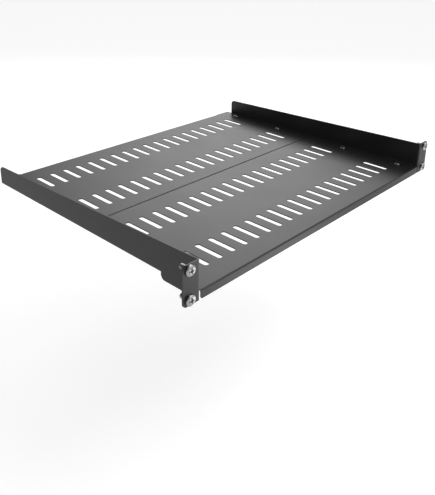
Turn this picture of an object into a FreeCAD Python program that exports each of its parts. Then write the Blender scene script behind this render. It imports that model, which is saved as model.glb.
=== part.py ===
import FreeCAD, Part
import math
import os

os.makedirs("parts", exist_ok=True)

# All sizes are in millimetres. X runs across the rack, Y runs back into it and Z is up.
# X 0 is the middle of the shelf, Y 0 the back face of the ears, Z 0 midway between the rack screws.

# sheet steel, thinner in the pans than in the side brackets
steel = 1.5
ear_bend_inside = 0.5
ear_bend_outside = ear_bend_inside + steel
flange_bend_inside = 1.5
flange_bend_outside = flange_bend_inside + steel
pan_steel = 1.2
lip_bend_inside = 0.5
lip_bend_outside = lip_bend_inside + pan_steel

# rack interface, one unit high
panel_width = 482.6
panel_height = 44.45
ear_width = 20.6
ear_corner = 5.0
ear_hole = 7.0
rack_screw_side_inset = 8.75
rack_screw_end_inset = 6.35
panel_half = panel_width / 2
panel_top = panel_height / 2
panel_bottom = -panel_height / 2
rack_screw_x = panel_half - rack_screw_side_inset
rack_screw_z = panel_top - rack_screw_end_inset

# pans, front to rear
front_face = -steel
shelf_depth = 372.0
front_pan_depth = 188.0
rear_face = front_face + shelf_depth
seam = front_face + front_pan_depth
seam_gap = 0.3
lip_height = 9.6
lip_corner = 2.5
rear_corner = 4.0
floor_top = panel_bottom + lip_height
floor_under = floor_top - pan_steel

# side brackets
wall_outer = panel_half - ear_width
wall_inner = wall_outer - steel
pan_overhang = 8.1
wall_rear = rear_face - pan_overhang
wall_height_front = 33.65
wall_height_rear = 22.15
wall_top_front = floor_top + wall_height_front
wall_top_rear = floor_top + wall_height_rear
wall_rear_corner = 6.0
step_back = 52.3
step_corner = 5.5
flange_corner = 3.0
slit_width = 4.0
tongue_outer = wall_inner - slit_width
tongue_front = 10.0

# screws that hold the pans down stand in a line along each bracket flange
screw_from_wall = 12.6
screw_from_flange_edge = 15.6
pan_screw_x = wall_inner - screw_from_wall
flange_inner = pan_screw_x - screw_from_flange_edge
front_screw_inset = 26.0
seam_screw_front = 69.0
seam_screw_rear = 60.0
rear_screw_inset = 30.5
front_screw_rows = [front_face + front_screw_inset, seam - seam_screw_front]
rear_screw_rows = [seam + seam_screw_rear, rear_face - rear_screw_inset]

# width of the pans, and of their flanges at the seam and at the rear
side_gap = 1.4
pan_half = wall_inner - side_gap
short_flange_gap = 3.0
short_flange_half = flange_inner - short_flange_gap
bend_relief = 1.5

# slots in the pans
slot_columns = 19
slot_from_wall = 39.2
slot_pitch = 2 * (wall_inner - slot_from_wall) / (slot_columns - 1)
slot_length = 38.1
slot_width = 6.35
slot_end_flats = 6
front_slot_inset = 47.0
seam_slot_front = 47.7
seam_slot_rear = 43.7
rear_slot_inset = 46.5
front_slot_rows = [front_face + front_slot_inset, seam - seam_slot_front]
rear_slot_rows = [seam + seam_slot_rear, rear_face - rear_slot_inset]

# those screws, and the nuts pressed into the bracket flanges
pan_screw_size = 5.0
pan_screw_hole = 5.5
pan_screw_length = 6.0
button_across = 9.5
button_height = 2.75
button_rim = 0.4
socket_flats = 3.0
socket_depth = 1.6
nut_across = 8.7
nut_height = 2.0
nut_pilot = 6.35
pilot_below_flange_top = 0.1
nut_pilot_height = steel - pilot_below_flange_top
press_gap = 0.05
thread_gap = 0.1
small_sides = 16

# screws that hold the ears to the rack
rack_screw_size = 6.0
rack_screw_length = 12.0
rack_screw_neck = 5.3
neck_past_ear = 0.5
rack_head_across = 11.8
rack_head_height = 3.2
rack_head_rim = 1.8
rack_head_sides = 24
cross_length = 7.2
cross_width = 1.7
cross_depth = 2.3


def outline(corners):
    # closed wire through the corners, each corner given as a point and its rounding radius
    edges = []
    last = None
    first = None
    for i in range(len(corners)):
        here, radius = corners[i]
        before = corners[i - 1][0]
        after = corners[(i + 1) % len(corners)][0]
        arrive = here
        leave = here
        arc = None
        if radius > 0:
            back = (before - here).normalize()
            ahead = (after - here).normalize()
            half = back.getAngle(ahead) / 2
            reach = radius / math.tan(half)
            arrive = here + back * reach
            leave = here + ahead * reach
            inward = (back + ahead).normalize()
            middle = here + inward * (radius / math.sin(half) - radius)
            arc = Part.Arc(arrive, middle, leave).toShape()
        if last is not None:
            edges.append(Part.makeLine(last, arrive))
        else:
            first = arrive
        if arc is not None:
            edges.append(arc)
        last = leave
    edges.append(Part.makeLine(last, first))
    return Part.Wire(edges)


def side_plate(corners, x_from, x_to):
    # plate drawn in the Y Z plane and given thickness along X
    wire = outline([(FreeCAD.Vector(x_from, y, z), r) for y, z, r in corners])
    return Part.Face(wire).extrude(FreeCAD.Vector(x_to - x_from, 0, 0))


def front_plate(corners, y_from, y_to):
    # plate drawn in the X Z plane and given thickness along Y
    wire = outline([(FreeCAD.Vector(x, y_from, z), r) for x, z, r in corners])
    return Part.Face(wire).extrude(FreeCAD.Vector(0, y_to - y_from, 0))


def flat_plate(corners, z_from, z_to):
    # plate drawn in the X Y plane and given thickness along Z
    wire = outline([(FreeCAD.Vector(x, y, z_from), r) for x, y, r in corners])
    return Part.Face(wire).extrude(FreeCAD.Vector(0, 0, z_to - z_from))


def block(x_from, x_to, y_from, y_to, z_from, z_to):
    corner = FreeCAD.Vector(x_from, y_from, z_from)
    return Part.makeBox(x_to - x_from, y_to - y_from, z_to - z_from, corner)


def turned(rings, sides):
    # stack of rings about the Z axis, each given as a height and a size across, joined by flats
    rows = []
    for z, across in rings:
        row = []
        for side in range(sides + 1):
            angle = 2 * math.pi * side / sides
            row.append(FreeCAD.Vector(across / 2 * math.cos(angle), across / 2 * math.sin(angle), z))
        rows.append(row)
    faces = [Part.Face(Part.makePolygon(rows[0])), Part.Face(Part.makePolygon(rows[-1]))]
    for low, high in zip(rows, rows[1:]):
        for side in range(sides):
            loop = [low[side], low[side + 1], high[side + 1], high[side], low[side]]
            faces.append(Part.Face(Part.makePolygon(loop)))
    shell = Part.makeShell(faces)
    shell.sewShape()
    solid = Part.makeSolid(shell)
    if solid.Volume < 0:
        solid.reverse()
    return solid


def domed_rings(across, height, rim, bands):
    # straight rim, then a dome that ends in a small flat crown
    lean = math.radians(65)
    rings = [(0, across), (rim, across)]
    for band in range(1, bands + 1):
        angle = lean * band / bands
        rings.append((rim + (height - rim) * math.sin(angle) / math.sin(lean), across * math.cos(angle)))
    return rings


def small_hole(x, y, z_from, z_to, across):
    hole = turned([(z_from, across), (z_to, across)], small_sides)
    hole.translate(FreeCAD.Vector(x, y, 0))
    return hole


def mirrored(shape):
    return shape.mirror(FreeCAD.Vector(0, 0, 0), FreeCAD.Vector(1, 0, 0))


def wall_top(y):
    return wall_top_front + (wall_top_rear - wall_top_front) * y / wall_rear


def bent_pan(front, rear):
    # flat floor with a flange folded down along the front edge and along the rear edge
    section = [
        (front, panel_bottom, 0),
        (front, floor_top, lip_bend_outside),
        (rear, floor_top, lip_bend_outside),
        (rear, panel_bottom, 0),
        (rear - pan_steel, panel_bottom, 0),
        (rear - pan_steel, floor_under, lip_bend_inside),
        (front + pan_steel, floor_under, lip_bend_inside),
        (front + pan_steel, panel_bottom, 0),
    ]
    pan = side_plate(section, -pan_half, pan_half)
    face = [
        (-pan_half, panel_bottom, lip_corner),
        (pan_half, panel_bottom, lip_corner),
        (pan_half, floor_top, 0),
        (-pan_half, floor_top, 0),
    ]
    return pan.common(front_plate(face, front, rear))


def shorten_flange(pan, edge, inward):
    # the flange stops short of the brackets, and there the floor runs on flat to the edge
    bend_line = edge + inward * (lip_bend_outside + bend_relief / 2)
    y_from = min(edge, bend_line)
    y_to = max(edge, bend_line)
    for side in (-1, 1):
        stop = side * short_flange_half
        tab = side * (short_flange_half + bend_relief)
        end = side * pan_half
        away = block(min(stop, end), max(stop, end), y_from, y_to, panel_bottom, floor_top)
        pan = pan.cut(away)
        pan = pan.fuse(block(min(tab, end), max(tab, end), y_from, y_to, floor_under, floor_top))
    return pan.removeSplitter()


def slot(x, y):
    # the round ends are drawn with a few flats each, because there are so many slots
    straight = (slot_length - slot_width) / 2
    corners = []
    for end in (1, -1):
        for i in range(slot_end_flats + 1):
            angle = math.pi * i / slot_end_flats
            across = end * slot_width / 2 * math.cos(angle)
            along = end * (straight + slot_width / 2 * math.sin(angle))
            corners.append((x + across, y + along, 0))
    return flat_plate(corners, floor_under - 1, floor_top + 1)


def pierced(pan, slot_rows, screw_rows):
    cutters = []
    for y in slot_rows:
        for column in range(slot_columns):
            x = (column - (slot_columns - 1) / 2) * slot_pitch
            cutters.append(slot(x, y))
    for y in screw_rows:
        for x in (-pan_screw_x, pan_screw_x):
            cutters.append(small_hole(x, y, floor_under - 1, floor_top + 1, pan_screw_hole))
    return pan.cut(Part.makeCompound(cutters))


def front_pan():
    rear = seam - seam_gap / 2
    pan = bent_pan(front_face, rear)
    pan = shorten_flange(pan, rear, -1)
    return pierced(pan, front_slot_rows, front_screw_rows)


def rear_pan():
    front = seam + seam_gap / 2
    pan = bent_pan(front, rear_face)
    pan = shorten_flange(pan, front, 1)
    pan = shorten_flange(pan, rear_face, -1)
    plan = [
        (-pan_half, front, 0),
        (pan_half, front, 0),
        (pan_half, rear_face, rear_corner),
        (-pan_half, rear_face, rear_corner),
    ]
    pan = pan.common(flat_plate(plan, panel_bottom, floor_top))
    return pierced(pan, rear_slot_rows, rear_screw_rows)


def wall_and_ear():
    # one strip, bent outwards at the front to make the ear
    plan = [
        (panel_half, -steel, 0),
        (wall_inner, -steel, ear_bend_outside),
        (wall_inner, wall_rear, 0),
        (wall_outer, wall_rear, 0),
        (wall_outer, 0, ear_bend_inside),
        (panel_half, 0, 0),
    ]
    strip = flat_plate(plan, panel_bottom, panel_top)
    side = [
        (-steel, panel_bottom, 0),
        (step_back, panel_bottom, step_corner),
        (step_back, floor_under - steel + flange_bend_outside, 0),
        (wall_rear, floor_under - steel + flange_bend_outside, 0),
        (wall_rear, wall_top_rear, wall_rear_corner),
        (-steel, wall_top(-steel), 0),
    ]
    bend_line = wall_inner + ear_bend_outside
    wall = strip.common(side_plate(side, wall_inner, bend_line))
    face = [
        (bend_line, panel_bottom, 0),
        (panel_half, panel_bottom, ear_corner),
        (panel_half, panel_top, ear_corner),
        (bend_line, panel_top, panel_top - wall_top_front),
    ]
    ear = front_plate(face, -steel, 0)
    return wall.fuse(ear)


def bracket_flange():
    # inward flange under the pans, its front end freed from the wall by a slit
    section = [
        (wall_outer, floor_under + 4 * steel, 0),
        (wall_outer, floor_under - steel, flange_bend_outside),
        (flange_inner, floor_under - steel, 0),
        (flange_inner, floor_under, 0),
        (wall_inner, floor_under, flange_bend_inside),
        (wall_inner, floor_under + 4 * steel, 0),
    ]
    strip = front_plate(section, tongue_front, wall_rear)
    slit_end = (wall_inner - tongue_outer) / 2
    plan = [
        (flange_inner, tongue_front, flange_corner),
        (tongue_outer, tongue_front, flange_corner),
        (tongue_outer, step_back, slit_end),
        (wall_outer + 1, step_back, 0),
        (wall_outer + 1, wall_rear, 0),
        (flange_inner, wall_rear, flange_corner),
    ]
    return strip.common(flat_plate(plan, floor_under - 2 * steel, floor_under + 4 * steel))


def right_bracket():
    bracket = wall_and_ear().fuse(bracket_flange()).removeSplitter()
    cutters = []
    for z in (-rack_screw_z, rack_screw_z):
        base = FreeCAD.Vector(rack_screw_x, -steel - 1, z)
        cutters.append(Part.makeCylinder(ear_hole / 2, steel + 2, base, FreeCAD.Vector(0, 1, 0)))
    for y in front_screw_rows + rear_screw_rows:
        hole = nut_pilot + 2 * press_gap
        cutters.append(small_hole(pan_screw_x, y, floor_under - steel - 1, floor_under + 1, hole))
    return bracket.cut(Part.makeCompound(cutters))


def pan_screw(x, y):
    # domed button head with a six sided socket, standing on the floor of the pan
    head = turned(domed_rings(button_across, button_height, button_rim, 3), small_sides)
    shank = turned([(-pan_screw_length, pan_screw_size), (0.5, pan_screw_size)], small_sides)
    point = 2 * socket_flats / math.sqrt(3)
    socket = turned([(button_height - socket_depth, point), (button_height + 1, point)], 6)
    screw = head.fuse(shank).removeSplitter().cut(socket)
    screw.translate(FreeCAD.Vector(x, y, floor_top))
    return screw


def clinch_nut(x, y):
    # round nut pressed into the bracket flange from below
    collar = turned([(-nut_height, nut_across), (0, nut_across)], small_sides)
    pilot = turned([(-nut_height, nut_pilot), (nut_pilot_height, nut_pilot)], small_sides)
    bore = pan_screw_size + 2 * thread_gap
    hole = turned([(-nut_height - 1, bore), (nut_pilot_height + 1, bore)], small_sides)
    nut = collar.fuse(pilot).removeSplitter().cut(hole)
    nut.translate(FreeCAD.Vector(x, y, floor_under - steel))
    return nut


def rack_screw(x, z):
    # pan head with a cross recess, a thin neck through the ear and the thread behind it
    head = turned(domed_rings(rack_head_across, rack_head_height, rack_head_rim, 3), rack_head_sides)
    neck_end = -steel - neck_past_ear
    neck = turned([(neck_end - 1, rack_screw_neck), (0.5, rack_screw_neck)], small_sides)
    tip = FreeCAD.Vector(0, 0, -rack_screw_length)
    thread = Part.makeCylinder(rack_screw_size / 2, rack_screw_length + neck_end, tip)
    screw = head.fuse([neck, thread]).removeSplitter()
    reach = cross_length / 2
    foot = cross_width / 2
    arm = [
        (-reach, rack_head_height, 0),
        (reach, rack_head_height, 0),
        (foot, rack_head_height - cross_depth, 0),
        (-foot, rack_head_height - cross_depth, 0),
    ]
    for turn in (0, 90):
        wedge = front_plate(arm, -foot, foot)
        wedge.rotate(FreeCAD.Vector(0, 0, 0), FreeCAD.Vector(0, 0, 1), turn)
        screw = screw.cut(wedge)
    screw.rotate(FreeCAD.Vector(0, 0, 0), FreeCAD.Vector(1, 0, 0), 90)
    screw.translate(FreeCAD.Vector(x, -steel, z))
    return screw


def save(shape, node):
    solid = shape.Solids[0]
    if len(shape.Solids) != 1 or not solid.isValid():
        raise RuntimeError(node + " is not one sound solid")
    solid.exportStep("parts/" + node + ".step")


save(front_pan(), "front_pan")
save(rear_pan(), "rear_pan")
right = right_bracket()
save(right, "right_bracket")
save(mirrored(right), "left_bracket")

for side, sign in (("left", -1), ("right", 1)):
    for number, y in enumerate(front_screw_rows + rear_screw_rows, start=1):
        save(pan_screw(sign * pan_screw_x, y), "pan_screw_%s_%d" % (side, number))
        save(clinch_nut(sign * pan_screw_x, y), "clinch_nut_%s_%d" % (side, number))
    for level, up in (("lower", -1), ("upper", 1)):
        node = "rack_screw_%s_%s" % (side, level)
        save(rack_screw(sign * rack_screw_x, up * rack_screw_z), node)
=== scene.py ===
import math
import bmesh
import bpy
from mathutils import Matrix, Vector


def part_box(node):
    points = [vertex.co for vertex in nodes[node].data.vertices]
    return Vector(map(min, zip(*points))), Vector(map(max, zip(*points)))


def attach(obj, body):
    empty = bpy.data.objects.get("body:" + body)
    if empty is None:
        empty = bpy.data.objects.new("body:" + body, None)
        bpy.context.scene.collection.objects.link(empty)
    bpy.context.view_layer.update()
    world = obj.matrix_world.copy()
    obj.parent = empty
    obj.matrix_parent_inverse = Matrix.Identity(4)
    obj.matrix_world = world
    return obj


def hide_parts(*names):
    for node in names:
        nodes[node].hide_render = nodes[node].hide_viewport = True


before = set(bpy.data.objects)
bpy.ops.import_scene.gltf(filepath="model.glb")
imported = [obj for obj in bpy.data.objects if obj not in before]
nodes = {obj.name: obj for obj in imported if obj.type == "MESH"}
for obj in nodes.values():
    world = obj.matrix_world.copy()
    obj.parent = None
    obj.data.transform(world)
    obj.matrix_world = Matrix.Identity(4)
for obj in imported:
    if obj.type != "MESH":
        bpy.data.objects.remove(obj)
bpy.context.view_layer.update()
mm = 0.001

# node groups for effects that several finishes share

effects = {"grainDetail": 2, "edgeSamples": 4, "edgeGain": 6, "patchDetail": 3, "dustDetail": 5}


def newGroup(name, inputs, outputs):
    group = bpy.data.node_groups.new(name, "ShaderNodeTree")
    for label, kind, value in inputs:
        socket = group.interface.new_socket(name=label, in_out="INPUT", socket_type=kind)
        socket.default_value = value
    for label, kind in outputs:
        group.interface.new_socket(name=label, in_out="OUTPUT", socket_type=kind)
    entry = group.nodes.new("NodeGroupInput")
    leave = group.nodes.new("NodeGroupOutput")
    return group, group.nodes, group.links, entry, leave


def addMath(net, link, operation, first, second, clamp=False):
    step = net.new("ShaderNodeMath")
    step.operation = operation
    step.use_clamp = clamp
    for index, value in enumerate((first, second)):
        if isinstance(value, (int, float)):
            step.inputs[index].default_value = value
        else:
            link.new(value, step.inputs[index])
    return step.outputs[0]


def addNoise(net, link, place, scale, detail):
    noise = net.new("ShaderNodeTexNoise")
    noise.inputs["Detail"].default_value = detail
    link.new(place, noise.inputs["Vector"])
    if isinstance(scale, (int, float)):
        noise.inputs["Scale"].default_value = scale
    else:
        link.new(scale, noise.inputs["Scale"])
    return noise.outputs["Fac"]


def makeGrainGroup():
    # fine orange peel of a sprayed or rolled skin, as a normal
    group, net, link, entry, leave = newGroup(
        "surfaceGrain",
        [("Grain Size", "NodeSocketFloat", 0.001), ("Grain Depth", "NodeSocketFloat", 0.00001)],
        [("Normal", "NodeSocketVector"), ("Speckle", "NodeSocketFloat")],
    )
    place = net.new("ShaderNodeTexCoord").outputs["Object"]
    scale = addMath(net, link, "DIVIDE", 1, entry.outputs["Grain Size"])
    grain = addNoise(net, link, place, scale, effects["grainDetail"])
    bump = net.new("ShaderNodeBump")
    link.new(entry.outputs["Grain Depth"], bump.inputs["Distance"])
    link.new(grain, bump.inputs["Height"])
    link.new(bump.outputs["Normal"], leave.inputs["Normal"])
    link.new(grain, leave.inputs["Speckle"])
    return group


def makeEdgeGroup():
    # mask of the sharp edges, broken up where the finish is worn unevenly
    group, net, link, entry, leave = newGroup(
        "edgeWear",
        [("Width", "NodeSocketFloat", 0.0005), ("Patch Size", "NodeSocketFloat", 0.004)],
        [("Mask", "NodeSocketFloat")],
    )
    soft = net.new("ShaderNodeBevel")
    soft.samples = effects["edgeSamples"]
    link.new(entry.outputs["Width"], soft.inputs["Radius"])
    flat = net.new("ShaderNodeNewGeometry").outputs["Normal"]
    turn = net.new("ShaderNodeVectorMath")
    turn.operation = "DOT_PRODUCT"
    link.new(soft.outputs["Normal"], turn.inputs[0])
    link.new(flat, turn.inputs[1])
    away = addMath(net, link, "SUBTRACT", 1, turn.outputs["Value"])
    edge = addMath(net, link, "MULTIPLY", away, effects["edgeGain"], True)
    place = net.new("ShaderNodeTexCoord").outputs["Object"]
    scale = addMath(net, link, "DIVIDE", 1, entry.outputs["Patch Size"])
    patch = addNoise(net, link, place, scale, effects["patchDetail"])
    worn = addMath(net, link, "MULTIPLY", edge, patch, True)
    link.new(worn, leave.inputs["Mask"])
    return group


def makeDustGroup():
    # soft cloudy film on whatever faces up
    group, net, link, entry, leave = newGroup(
        "dustFilm",
        [("Cloud Size", "NodeSocketFloat", 0.06), ("Amount", "NodeSocketFloat", 0.1)],
        [("Mask", "NodeSocketFloat")],
    )
    place = net.new("ShaderNodeTexCoord").outputs["Object"]
    scale = addMath(net, link, "DIVIDE", 1, entry.outputs["Cloud Size"])
    cloud = addNoise(net, link, place, scale, effects["dustDetail"])
    parts = net.new("ShaderNodeSeparateXYZ")
    link.new(net.new("ShaderNodeNewGeometry").outputs["Normal"], parts.inputs[0])
    up = addMath(net, link, "MULTIPLY", parts.outputs["Z"], 1, True)
    film = addMath(net, link, "MULTIPLY", cloud, up)
    share = addMath(net, link, "MULTIPLY", film, entry.outputs["Amount"], True)
    link.new(share, leave.inputs["Mask"])
    return group


surfaceGrain = makeGrainGroup()
edgeWear = makeEdgeGroup()
dustFilm = makeDustGroup()


def newMaterial(name):
    material = bpy.data.materials.new(name)
    material.use_nodes = True
    shader = material.node_tree.nodes["Principled BSDF"]
    return material, material.node_tree.nodes, material.node_tree.links, shader


def addGroup(net, group, **values):
    node = net.new("ShaderNodeGroup")
    node.node_tree = group
    for label, value in values.items():
        node.inputs[label.replace("_", " ")].default_value = value
    return node


def blendColour(net, link, amount, first, second):
    # this node has its two colours in inputs 6 and 7, and the mixed colour in output 2
    mix = net.new("ShaderNodeMix")
    mix.data_type = "RGBA"
    for index, colour in ((6, first), (7, second)):
        if isinstance(colour, tuple):
            mix.inputs[index].default_value = (*colour, 1)
        else:
            link.new(colour, mix.inputs[index])
    link.new(amount, mix.inputs[0])
    return mix.outputs[2]


def blendValue(net, link, amount, low, high):
    step = net.new("ShaderNodeMapRange")
    step.inputs["To Min"].default_value = low
    step.inputs["To Max"].default_value = high
    link.new(amount, step.inputs["Value"])
    return step.outputs["Result"]


# satin black powder coat of the pans and brackets

coatLook = {
    "black": (0.0085, 0.0085, 0.0088),
    "blackHigh": (0.0115, 0.0115, 0.0118),
    "rubbed": (0.022, 0.022, 0.023),
    "dust": (0.06, 0.058, 0.055),
    "roughLow": 0.335,
    "roughHigh": 0.395,
    "grainSize": 0.8 * mm,
    "grainDepth": 0.010 * mm,
    "edgeWidth": 0.5 * mm,
    "patchSize": 6 * mm,
    "cloudSize": 55 * mm,
    "cloudDetail": 4,
    "dustAmount": 0.05,
}


def makePowderCoat():
    material, net, link, shader = newMaterial("powderCoat")
    grain = addGroup(
        net, surfaceGrain, Grain_Size=coatLook["grainSize"], Grain_Depth=coatLook["grainDepth"]
    )
    edge = addGroup(net, edgeWear, Width=coatLook["edgeWidth"], Patch_Size=coatLook["patchSize"])
    film = addGroup(
        net, dustFilm, Cloud_Size=coatLook["cloudSize"], Amount=coatLook["dustAmount"]
    )
    speckle = grain.outputs["Speckle"]
    base = blendColour(net, link, speckle, coatLook["black"], coatLook["blackHigh"])
    worn = blendColour(net, link, edge.outputs["Mask"], base, coatLook["rubbed"])
    dusty = blendColour(net, link, film.outputs["Mask"], worn, coatLook["dust"])
    link.new(dusty, shader.inputs["Base Color"])
    place = net.new("ShaderNodeTexCoord").outputs["Object"]
    cloud = addNoise(net, link, place, 1 / coatLook["cloudSize"], coatLook["cloudDetail"])
    rough = blendValue(net, link, cloud, coatLook["roughLow"], coatLook["roughHigh"])
    link.new(rough, shader.inputs["Roughness"])
    link.new(grain.outputs["Normal"], shader.inputs["Normal"])
    return material


# finishes of the fasteners

wearScale = {"patch": 6, "cloud": 0.2, "cloudDetail": 3}
metalLooks = {
    "blackScrew": {
        "colour": (0.016, 0.016, 0.017),
        "bare": (0.05, 0.05, 0.05),
        "metal": 0.0,
        "bending": 2.2,
        "roughLow": 0.16,
        "roughHigh": 0.24,
        "grainSize": 0.25 * mm,
        "grainDepth": 0.003 * mm,
        "edgeWidth": 0.3 * mm,
    },
    "zincSteel": {
        "colour": (0.55, 0.56, 0.59),
        "bare": (0.68, 0.69, 0.70),
        "metal": 1.0,
        "bending": 1.5,
        "roughLow": 0.28,
        "roughHigh": 0.46,
        "grainSize": 0.6 * mm,
        "grainDepth": 0.004 * mm,
        "edgeWidth": 0.25 * mm,
    },
    "brightScrew": {
        "colour": (0.42, 0.415, 0.40),
        "bare": (0.56, 0.56, 0.55),
        "metal": 1.0,
        "bending": 1.5,
        "roughLow": 0.16,
        "roughHigh": 0.30,
        "grainSize": 0.35 * mm,
        "grainDepth": 0.002 * mm,
        "edgeWidth": 0.3 * mm,
    },
}


def makeMetal(name):
    # patches and clouds take their size from the grain
    look = metalLooks[name]
    material, net, link, shader = newMaterial(name)
    grain = addGroup(
        net, surfaceGrain, Grain_Size=look["grainSize"], Grain_Depth=look["grainDepth"]
    )
    patch = wearScale["patch"] * look["grainSize"]
    edge = addGroup(net, edgeWear, Width=look["edgeWidth"], Patch_Size=patch)
    colour = blendColour(net, link, edge.outputs["Mask"], look["colour"], look["bare"])
    link.new(colour, shader.inputs["Base Color"])
    place = net.new("ShaderNodeTexCoord").outputs["Object"]
    scale = wearScale["cloud"] / look["grainSize"]
    cloud = addNoise(net, link, place, scale, wearScale["cloudDetail"])
    rough = blendValue(net, link, cloud, look["roughLow"], look["roughHigh"])
    link.new(rough, shader.inputs["Roughness"])
    link.new(grain.outputs["Normal"], shader.inputs["Normal"])
    shader.inputs["Metallic"].default_value = look["metal"]
    shader.inputs["IOR"].default_value = look["bending"]
    return material


finishes = {"powderCoat": makePowderCoat()}
for finish in metalLooks:
    finishes[finish] = makeMetal(finish)


def finishOf(node):
    if "pan_screw" in node:
        return "blackScrew", "black_screw"
    if "clinch_nut" in node:
        return "zincSteel", "zinc_steel"
    if "rack_screw" in node:
        return "brightScrew", "bright_screw"
    return "powderCoat", "powder_coat"


for node, solid in nodes.items():
    solid.data.materials[0] = finishes[finishOf(node)[0]]
print("finishes made")

# pieces that stand for the plain solids

softEdge = {"segments": 2, "sharpFrom": 40, "flatFaceWeight": 100}


def addPiece(name, bm, node, rounding, sheet=0.0):
    mesh = bpy.data.meshes.new(name)
    bm.to_mesh(mesh)
    bm.free()
    piece = bpy.data.objects.new(name, mesh)
    bpy.context.scene.collection.objects.link(piece)
    finish, slot = finishOf(node)
    mesh.materials.append(finishes[finish])
    for face in mesh.polygons:
        face.use_smooth = True
    if sheet > 0:
        wall = piece.modifiers.new("sheet", "SOLIDIFY")
        wall.thickness = sheet
        wall.offset = -1
        wall.use_even_offset = True
    bevel = piece.modifiers.new("softEdges", "BEVEL")
    bevel.width = rounding
    bevel.segments = softEdge["segments"]
    bevel.limit_method = "ANGLE"
    bevel.angle_limit = math.radians(softEdge["sharpFrom"])
    flat = piece.modifiers.new("flatFaces", "WEIGHTED_NORMAL")
    flat.weight = softEdge["flatFaceWeight"]
    flat.keep_sharp = True
    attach(piece, "root")
    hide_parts(node)


def carve(bm, cutter):
    # takes one closed shape out of another and gives back the mesh that is left
    pieces = []
    for shape in (bm, cutter):
        mesh = bpy.data.meshes.new("carving")
        shape.to_mesh(mesh)
        shape.free()
        thing = bpy.data.objects.new("carving", mesh)
        bpy.context.scene.collection.objects.link(thing)
        pieces.append(thing)
    body, tool = pieces
    cut = body.modifiers.new("cut", "BOOLEAN")
    cut.operation = "DIFFERENCE"
    cut.solver = "EXACT"
    cut.object = tool
    carved = body.evaluated_get(bpy.context.evaluated_depsgraph_get())
    left = bmesh.new()
    left.from_mesh(carved.to_mesh())
    carved.to_mesh_clear()
    for thing in pieces:
        bpy.data.meshes.remove(thing.data)
    return left


# pans: one skin for the floor and its flanges, given the thickness of the sheet

panShape = {
    "steel": 1.2 * mm,
    "bend": 1.7 * mm,
    "seamBend": 1.28 * mm,
    "bendSteps": 7,
    "lipCorner": 2.5 * mm,
    "lipSteps": 6,
    "rearCorner": 4.0 * mm,
    "rearSteps": 8,
    "shortFlange": 188.0 * mm,
    "pastEnd": 0.1 * mm,
    "longEdge": 100 * mm,
    "near": 0.01 * mm,
    "relief": 1.5 * mm,
    "slotLength": 38.1 * mm,
    "slotWidth": 6.35 * mm,
    "slotSides": 24,
    "slotColumns": 19,
    "slotPitch": 20.0 * mm,
    "holeWidth": 5.5 * mm,
    "holeSides": 24,
    "slotRows": {"front_pan": (45.5 * mm, 138.8 * mm), "rear_pan": (230.2 * mm, 324.0 * mm)},
    "shortEdges": {"front_pan": ("rear",), "rear_pan": ("front", "rear")},
    "edgeRounding": 0.18 * mm,
}


def bendAt(node, name):
    # outside radius of the fold along one edge of a pan, tighter where the pans meet
    atSeam = (node, name) in (("front_pan", "rear"), ("rear_pan", "front"))
    return panShape["seamBend" if atSeam else "bend"]


def panOutline(node):
    # corners of the flat floor, walked round from the front left
    low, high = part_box(node)
    half = high.x
    flange = panShape["shortFlange"]
    tab = flange + panShape["relief"]
    short = panShape["shortEdges"][node]
    corners = []
    for name, edge, inward, sides in (("front", low.y, 1, (-1, 1)), ("rear", high.y, -1, (1, -1))):
        line = edge + inward * bendAt(node, name)
        if name not in short:
            corners += [(sides[0] * half, line), (sides[1] * half, line)]
            continue
        notch = line + inward * panShape["relief"] / 2
        first, second = sides
        corners += [(first * half, edge), (first * tab, edge), (first * tab, notch)]
        corners += [(first * flange, notch), (first * flange, line)]
        corners += [(second * flange, line), (second * flange, notch)]
        corners += [(second * tab, notch), (second * tab, edge), (second * half, edge)]
    return corners


def addSlot(bm, x, y, z):
    # a circle turned by half a side, so that it can be pulled apart into two round ends
    straight = (panShape["slotLength"] - panShape["slotWidth"]) / 2
    turn = Matrix.Rotation(math.pi / panShape["slotSides"], 4, "Z")
    ring = bmesh.ops.create_circle(
        bm, segments=panShape["slotSides"], radius=panShape["slotWidth"] / 2,
        matrix=Matrix.Translation((x, y, z)) @ turn,
    )["verts"]
    for vert in ring:
        vert.co.y += math.copysign(straight, vert.co.y - y)


def screwPlaces(low, high):
    # where the screws of one pan stand
    places = []
    for name in nodes:
        if "pan_screw" in name:
            first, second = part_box(name)
            x, y = (first.x + second.x) / 2, (first.y + second.y) / 2
            if low.y < y < high.y:
                places.append((x, y))
    return places


def addBend(bm, edges, edge, line, top):
    # folds the floor down through a quarter turn
    bend = abs(edge - line)
    turn = math.pi / 2 * (1 if edge > line else -1)
    folded = bmesh.ops.spin(
        bm, geom=edges, cent=(0, line, top - bend), axis=(-1, 0, 0), angle=turn,
        steps=panShape["bendSteps"],
    )["geom_last"]
    return [item for item in folded if isinstance(item, bmesh.types.BMEdge)]


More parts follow.
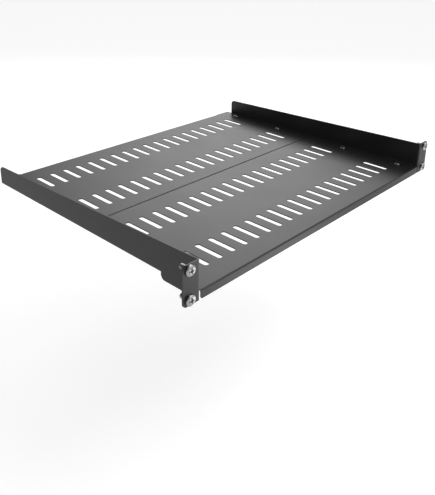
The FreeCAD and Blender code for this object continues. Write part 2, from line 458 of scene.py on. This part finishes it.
def makePan(node):
    low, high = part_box(node)
    top = high.z
    near = panShape["near"]
    bm = bmesh.new()
    ring = [bm.verts.new((x, y, top)) for x, y in panOutline(node)]
    for index, vert in enumerate(ring):
        bm.edges.new((ring[index - 1], vert))
    if node == "rear_pan":
        tips = [v for v in ring if v.co.y > high.y - near and abs(v.co.x) > high.x - near]
        bmesh.ops.bevel(
            bm, geom=tips, offset=panShape["rearCorner"], segments=panShape["rearSteps"],
            profile=0.5, affect="VERTICES", material=-1,
        )
    for y in panShape["slotRows"][node]:
        for column in range(panShape["slotColumns"]):
            x = (column - (panShape["slotColumns"] - 1) / 2) * panShape["slotPitch"]
            addSlot(bm, x, y, top)
    for x, y in screwPlaces(low, high):
        bmesh.ops.create_circle(
            bm, segments=panShape["holeSides"], radius=panShape["holeWidth"] / 2,
            matrix=Matrix.Translation((x, y, top)),
        )
    bmesh.ops.triangle_fill(bm, use_beauty=True, edges=bm.edges[:], normal=(0, 0, 1))
    for name, edge, inward in (("front", low.y, 1), ("rear", high.y, -1)):
        line = edge + inward * bendAt(node, name)
        lip = edge == low.y and node == "front_pan"
        reach = (high.x if lip else panShape["shortFlange"]) + panShape["pastEnd"]
        start = [
            e for e in bm.edges
            if all(abs(v.co.y - line) < near and abs(v.co.x) < reach for v in e.verts)
            and e.calc_length() > panShape["longEdge"]
        ]
        last = addBend(bm, start, edge, line, top)
        foot = bmesh.ops.extrude_edge_only(bm, edges=last)["geom"]
        feet = [item for item in foot if isinstance(item, bmesh.types.BMVert)]
        for vert in feet:
            vert.co.z = low.z
        if lip:
            bmesh.ops.bevel(
                bm, geom=feet, offset=panShape["lipCorner"], segments=panShape["lipSteps"],
                profile=0.5, affect="VERTICES", material=-1,
            )
    bmesh.ops.recalc_face_normals(bm, faces=bm.faces[:])
    bm.normal_update()
    floor = max(bm.faces, key=lambda face: face.calc_area())
    if floor.normal.z < 0:
        bmesh.ops.reverse_faces(bm, faces=bm.faces[:])
    name = "%sSheet" % node.split("_")[0]
    addPiece(name, bm, node, panShape["edgeRounding"], panShape["steel"])


for node in ("front_pan", "rear_pan"):
    makePan(node)
print("pans made")

# brackets: the plate of the solid with its cut edges rounded and its walls higher at the front

bracketShape = {
    "edgeRounding": 0.22 * mm,
    "seam": 0.001 * mm,
    "foldReach": 2.0 * mm,
    "cornerReach": 222.5 * mm,
    "wallTop": 21.0 * mm,
    "frontRise": 1.0 * mm,
}


def makeBracket(node):
    bm = bmesh.new()
    bm.from_mesh(nodes[node].data)
    bmesh.ops.remove_doubles(bm, verts=bm.verts[:], dist=bracketShape["seam"])
    # the front end of the wall's top edge comes up almost to the top of the ear
    wallTop = bracketShape["wallTop"]
    fold = bracketShape["foldReach"]
    corner = bracketShape["cornerReach"]
    for vert in bm.verts:
        atFold = vert.co.y < fold and abs(vert.co.x) < corner
        if atFold and vert.co.z > wallTop:
            vert.co.z = max(vert.co.z, wallTop + bracketShape["frontRise"])
    addPiece("%sPlate" % node.split("_")[0], bm, node, bracketShape["edgeRounding"])


for node in ("left_bracket", "right_bracket"):
    makeBracket(node)
print("brackets made")

# fasteners, each turned about its own axis and then put in its place

turnSeam = 0.002 * mm

panScrew = {
    "across": 9.5 * mm,
    "height": 2.75 * mm,
    "rim": 0.4 * mm,
    "lean": 65,
    "domeSteps": 10,
    "sides": 48,
    "socket": 3.0 * mm,
    "socketDepth": 1.6 * mm,
    "shank": 5.0 * mm,
    "length": 6.0 * mm,
    "pointAcross": 0.8,
    "pointRise": 0.2,
    "rounding": 0.12 * mm,
}

clinchNut = {
    "across": 8.7 * mm,
    "height": 2.0 * mm,
    "chamfer": 0.35 * mm,
    "bore": 5.2 * mm,
    "pilot": 6.35 * mm,
    "pilotHeight": 1.4 * mm,
    "sides": 48,
    "rounding": 0.08 * mm,
}

rackScrew = {
    "across": 11.8 * mm,
    "height": 3.2 * mm,
    "rim": 1.8 * mm,
    "lean": 65,
    "domeSteps": 12,
    "sides": 64,
    "crossLength": 7.6 * mm,
    "crossWidth": 1.9 * mm,
    "crossDepth": 2.3 * mm,
    "armTop": 1.15,
    "armFoot": 0.75,
    "armPast": 0.2 * mm,
    "neck": 5.3 * mm,
    "neckEnd": -2.0 * mm,
    "thread": 6.0 * mm,
    "root": 5.0 * mm,
    "pitch": 1.0 * mm,
    "crest": (0.4, 0.6),
    "threadStart": 0.2,
    "threadSeam": 0.004 * mm,
    "turnSteps": 20,
    "tip": -12.0 * mm,
    "tipChamfer": 0.7 * mm,
    "rounding": 0.15 * mm,
}


def turnProfile(points, sides):
    # spins a run of (radius, height) points round the Z axis into a closed shape
    bm = bmesh.new()
    run = [bm.verts.new((radius, 0, height)) for radius, height in points]
    for first, second in zip(run, run[1:]):
        bm.edges.new((first, second))
    bmesh.ops.spin(
        bm, geom=bm.verts[:] + bm.edges[:], cent=(0, 0, 0), axis=(0, 0, 1),
        angle=2 * math.pi, steps=sides, use_merge=True,
    )
    bmesh.ops.remove_doubles(bm, verts=bm.verts[:], dist=turnSeam)
    bmesh.ops.recalc_face_normals(bm, faces=bm.faces[:])
    return bm


def domePoints(shape):
    # rounded top of a screw head, from its rim to where the top is flat
    lean = math.radians(shape["lean"])
    radius = shape["across"] / 2
    rise = shape["height"] - shape["rim"]
    points = []
    for step in range(shape["domeSteps"] + 1):
        angle = lean * step / shape["domeSteps"]
        height = shape["rim"] + rise * math.sin(angle) / math.sin(lean)
        points.append((radius * math.cos(angle), height))
    return points


def makePanScrew(node):
    shape = panScrew
    low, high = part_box(node)
    shank = shape["shank"] / 2
    end = -shape["length"]
    points = [(0, end), (shank * shape["pointAcross"], end)]
    points += [(shank, end + shank * shape["pointRise"]), (shank, 0), (shape["across"] / 2, 0)]
    points += domePoints(shape) + [(0, shape["height"])]
    socket = bmesh.new()
    bmesh.ops.create_cone(
        socket, cap_ends=True, segments=6, radius1=shape["socket"] / math.sqrt(3),
        radius2=shape["socket"] / math.sqrt(3), depth=2 * shape["socketDepth"],
        matrix=Matrix.Translation((0, 0, shape["height"])),
    )
    bm = carve(turnProfile(points, shape["sides"]), socket)
    place = ((low.x + high.x) / 2, (low.y + high.y) / 2, high.z - shape["height"])
    bmesh.ops.translate(bm, verts=bm.verts[:], vec=place)
    addPiece(node.replace("pan_screw", "buttonScrew"), bm, node, shape["rounding"])


def makeClinchNut(node):
    shape = clinchNut
    low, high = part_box(node)
    outer = shape["across"] / 2
    inner = shape["bore"] / 2
    pilot = shape["pilot"] / 2
    edge = shape["chamfer"]
    foot = -shape["height"]
    points = [
        (inner, foot + edge / 2), (inner + edge / 2, foot), (outer - edge, foot),
        (outer, foot + edge), (outer, 0), (pilot, 0), (pilot, shape["pilotHeight"]),
        (inner, shape["pilotHeight"]), (inner, foot + edge / 2),
    ]
    bm = turnProfile(points, shape["sides"])
    place = ((low.x + high.x) / 2, (low.y + high.y) / 2, low.z + shape["height"])
    bmesh.ops.translate(bm, verts=bm.verts[:], vec=place)
    addPiece(node.replace("clinch_nut", "pressNut"), bm, node, shape["rounding"])


def makeThread(bm, shape):
    # one ridge, screwed down the shank by spinning and sinking together
    start = bmesh.new()
    crest = shape["thread"] / 2
    root = shape["root"] / 2
    pitch = shape["pitch"]
    top = shape["neckEnd"]
    length = top - shape["tip"] - pitch
    turns = length / pitch - 1
    steps = round(turns * shape["turnSteps"])
    crestTop, crestFoot = shape["crest"]
    run = [(root, 0), (crest, -crestTop * pitch), (crest, -crestFoot * pitch), (root, -pitch)]
    begin = top - shape["threadStart"] * pitch
    verts = [start.verts.new((radius, 0, begin + height)) for radius, height in run]
    for first, second in zip(verts, verts[1:]):
        start.edges.new((first, second))
    bmesh.ops.spin(
        start, geom=start.verts[:] + start.edges[:], cent=(0, 0, 0), axis=(0, 0, 1),
        dvec=(0, 0, -turns * pitch / steps), angle=2 * math.pi * turns, steps=steps,
    )
    bmesh.ops.remove_doubles(start, verts=start.verts[:], dist=shape["threadSeam"])
    bmesh.ops.holes_fill(start, edges=[e for e in start.edges if e.is_boundary], sides=0)
    bmesh.ops.recalc_face_normals(start, faces=start.faces[:])
    mesh = bpy.data.meshes.new("thread")
    start.to_mesh(mesh)
    start.free()
    bm.from_mesh(mesh)
    bpy.data.meshes.remove(mesh)


def makeRackScrew(node):
    shape = rackScrew
    low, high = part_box(node)
    neck = shape["neck"] / 2
    root = shape["root"] / 2
    tip = shape["tip"]
    chamfer = shape["tipChamfer"]
    points = [(0, tip), (root - chamfer, tip), (root, tip + chamfer), (root, shape["neckEnd"])]
    points += [(neck, shape["neckEnd"]), (neck, 0), (shape["across"] / 2, 0)]
    points += domePoints(shape) + [(0, shape["height"])]
    bm = turnProfile(points, shape["sides"])
    for turn in (0, math.pi / 2):
        cross = bmesh.new()
        arm = bmesh.ops.create_cube(cross, size=1)["verts"]
        for vert in arm:
            upper = vert.co.z > 0
            vert.co.x *= shape["crossLength"] if upper else shape["crossWidth"]
            vert.co.y *= shape["crossWidth"] * (shape["armTop"] if upper else shape["armFoot"])
            vert.co.z = shape["height"] + (shape["armPast"] if upper else -shape["crossDepth"])
        bmesh.ops.rotate(cross, verts=arm, cent=(0, 0, 0), matrix=Matrix.Rotation(turn, 3, "Z"))
        bm = carve(bm, cross)
    makeThread(bm, shape)
    lay = Matrix.Rotation(math.pi / 2, 3, "X")
    bmesh.ops.rotate(bm, verts=bm.verts[:], cent=(0, 0, 0), matrix=lay)
    place = ((low.x + high.x) / 2, low.y + shape["height"], (low.z + high.z) / 2)
    bmesh.ops.translate(bm, verts=bm.verts[:], vec=place)
    addPiece(node.replace("rack_screw", "rackScrew"), bm, node, shape["rounding"])


for side in ("left", "right"):
    for number in range(1, 5):
        makePanScrew("pan_screw_%s_%d" % (side, number))
        makeClinchNut("clinch_nut_%s_%d" % (side, number))
    for level in ("lower", "upper"):
        makeRackScrew("rack_screw_%s_%s" % (side, level))
print("fasteners made")

# floor, light and camera, in metres and degrees

room = {
    "floorDrop": 0.30,
    "floorSize": 60,
    "floorColour": (0.8, 0.8, 0.8, 1),
    "floorRoughness": 0.9,
    "floorSeen": 0.41,
    "floorGloss": 0.1,
    "skyLight": 0.55,
    "skyGloss": 0.22,
    "sideLight": {"strength": 0.8, "width": 60, "azimuth": -50, "height": 19},
    "backLight": {"strength": 0.2, "width": 22, "azimuth": 42, "height": 27},
    "softbox": {
        "power": 9.2, "size": (1.9, 1.3), "aim": (43, 31), "reach": 1.8, "centre": (0, 0, 0),
    },
    "lowCard": {
        "power": 1.0, "size": (0.76, 0.32), "aim": (0, -90), "reach": 0.28,
        "centre": (0.24, -0.3, 0),
    },
    "topCard": {
        "power": 6.0, "size": (0.6, 0.6), "aim": (-60, 60), "reach": 1.3, "centre": (0, 0, 0),
    },
}


def makeFloor():
    bpy.ops.mesh.primitive_plane_add(size=room["floorSize"], location=(0, 0, -room["floorDrop"]))
    floor = bpy.context.object
    floor.name = "studioFloor"
    material, net, link, shader = newMaterial("studioFloor")
    shader.inputs["Base Color"].default_value = room["floorColour"]
    shader.inputs["Roughness"].default_value = room["floorRoughness"]
    path = net.new("ShaderNodeLightPath")
    seen = addMath(net, link, "MULTIPLY", path.outputs["Is Camera Ray"], room["floorSeen"])
    gloss = addMath(net, link, "MULTIPLY", path.outputs["Is Glossy Ray"], room["floorGloss"])
    lift = addMath(net, link, "ADD", seen, gloss)
    shader.inputs["Emission Color"].default_value = (1, 1, 1, 1)
    link.new(lift, shader.inputs["Emission Strength"])
    floor.data.materials.append(material)


def makeLight():
    world = bpy.data.worlds.new("studio")
    bpy.context.scene.world = world
    world.use_nodes = True
    net = world.node_tree.nodes
    link = world.node_tree.links
    sky = net["Background"]
    sky.inputs["Color"].default_value = (1, 1, 1, 1)
    path = net.new("ShaderNodeLightPath")
    gloss = blendValue(net, link, path.outputs["Is Glossy Ray"], room["skyLight"], room["skyGloss"])
    seen = addMath(net, link, "MAXIMUM", path.outputs["Is Camera Ray"], gloss)
    link.new(seen, sky.inputs["Strength"])


def makeLamp(name):
    look = room[name]
    sun = bpy.data.lights.new(name, "SUN")
    sun.energy = look["strength"]
    sun.angle = math.radians(look["width"])
    lamp = bpy.data.objects.new(name, sun)
    lamp.rotation_euler = [math.radians(a) for a in (90 - look["height"], 0, 90 + look["azimuth"])]
    bpy.context.scene.collection.objects.link(lamp)


def makePanel(name):
    # rectangular light that faces the centre from an azimuth and a height in degrees
    look = room[name]
    panel = bpy.data.lights.new(name, "AREA")
    panel.shape = "RECTANGLE"
    panel.size, panel.size_y = look["size"]
    panel.energy = look["power"]
    azimuth, height = look["aim"]
    turn = Matrix.Rotation(math.radians(90 + azimuth), 4, "Z")
    lean = Matrix.Rotation(math.radians(90 - height), 4, "X")
    lamp = bpy.data.objects.new(name, panel)
    lamp.matrix_world = (
        Matrix.Translation(look["centre"]) @ turn @ lean @ Matrix.Translation((0, 0, look["reach"]))
    )
    lamp.visible_camera = False
    bpy.context.scene.collection.objects.link(lamp)


# the camera that was solved from the photograph

shot = {
    "place": (-0.58082, -0.36684, 0.32428),
    "across": (0.663656, -0.747623, 0.024914),
    "down": (-0.235658, -0.240569, -0.941590),
    "ahead": (0.709948, 0.619020, -0.335839),
    "lens": 45.924,
    "shift": (-0.05343, -0.22046),
}


def makeCamera():
    camera = bpy.data.objects.new("camera", bpy.data.cameras.new("camera"))
    bpy.context.scene.collection.objects.link(camera)
    across = Vector(shot["across"])
    up = -Vector(shot["down"])
    back = -Vector(shot["ahead"])
    turn = Matrix((across, up, back)).transposed().to_4x4()
    camera.matrix_world = Matrix.Translation(shot["place"]) @ turn
    camera.data.lens = shot["lens"]
    camera.data.shift_x, camera.data.shift_y = shot["shift"]
    bpy.context.scene.camera = camera


makeFloor()
makeLight()
for name in ("sideLight", "backLight"):
    makeLamp(name)
for name in ("softbox", "lowCard", "topCard"):
    makePanel(name)
makeCamera()
bpy.context.scene.view_settings.view_transform = "Standard"
print("room ready")
